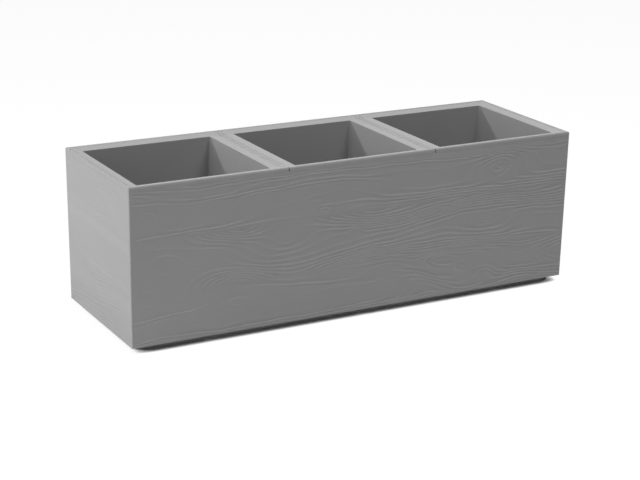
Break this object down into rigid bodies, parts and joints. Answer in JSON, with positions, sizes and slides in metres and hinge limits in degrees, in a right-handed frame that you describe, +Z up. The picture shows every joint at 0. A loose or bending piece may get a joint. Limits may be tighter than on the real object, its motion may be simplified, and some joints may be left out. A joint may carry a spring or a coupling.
{
  "type": "rectangular planter",
  "caption": "Long rectangular planter with a wood-relief case on a recessed foot, square drop-in plant inserts with sloping rims, and sealed drain plugs",
  "frame": {"origin": "on the ground at the centre of the planter's footprint", "axes": "+X along the planter's length, -Y its front face, +Z up out of the cells"},
  "size_m": [0.88, 0.29, 0.29],
  "materials": {
    "case_plastic": "matt moulded plastic with a raised wood grain in three boards",
    "insert_plastic": "matt moulded plastic, smooth with a fine spark texture",
    "plug_plastic": "dark matt plastic",
    "seal_rubber": "soft black rubber"
  },
  "bodies": {
    "case": {"case": "case_plastic"},
    "insert_left": {"insert_left": "insert_plastic"},
    "drain_plug_left": {"drain_plug_left": "plug_plastic", "plug_seal_left": "seal_rubber"},
    "insert_middle": {"insert_middle": "insert_plastic"},
    "drain_plug_middle": {"drain_plug_middle": "plug_plastic", "plug_seal_middle": "seal_rubber"},
    "insert_right": {"insert_right": "insert_plastic"},
    "drain_plug_right": {"drain_plug_right": "plug_plastic", "plug_seal_right": "seal_rubber"}
  },
  "joints": [
    {"name": "insert_left_lift", "type": "slide", "parent": "case", "child": "insert_left", "axis": [0, 0, 1], "range_m": [0, 0.25]},
    {"name": "drain_plug_left_pull", "type": "slide", "parent": "case", "child": "drain_plug_left", "axis": [0, 0, 1], "range_m": [0, 0.018]},
    {"name": "insert_middle_lift", "type": "slide", "parent": "case", "child": "insert_middle", "axis": [0, 0, 1], "range_m": [0, 0.25]},
    {"name": "drain_plug_middle_pull", "type": "slide", "parent": "case", "child": "drain_plug_middle", "axis": [0, 0, 1], "range_m": [0, 0.018]},
    {"name": "insert_right_lift", "type": "slide", "parent": "case", "child": "insert_right", "axis": [0, 0, 1], "range_m": [0, 0.25]},
    {"name": "drain_plug_right_pull", "type": "slide", "parent": "case", "child": "drain_plug_right", "axis": [0, 0, 1], "range_m": [0, 0.018]}
  ]
}
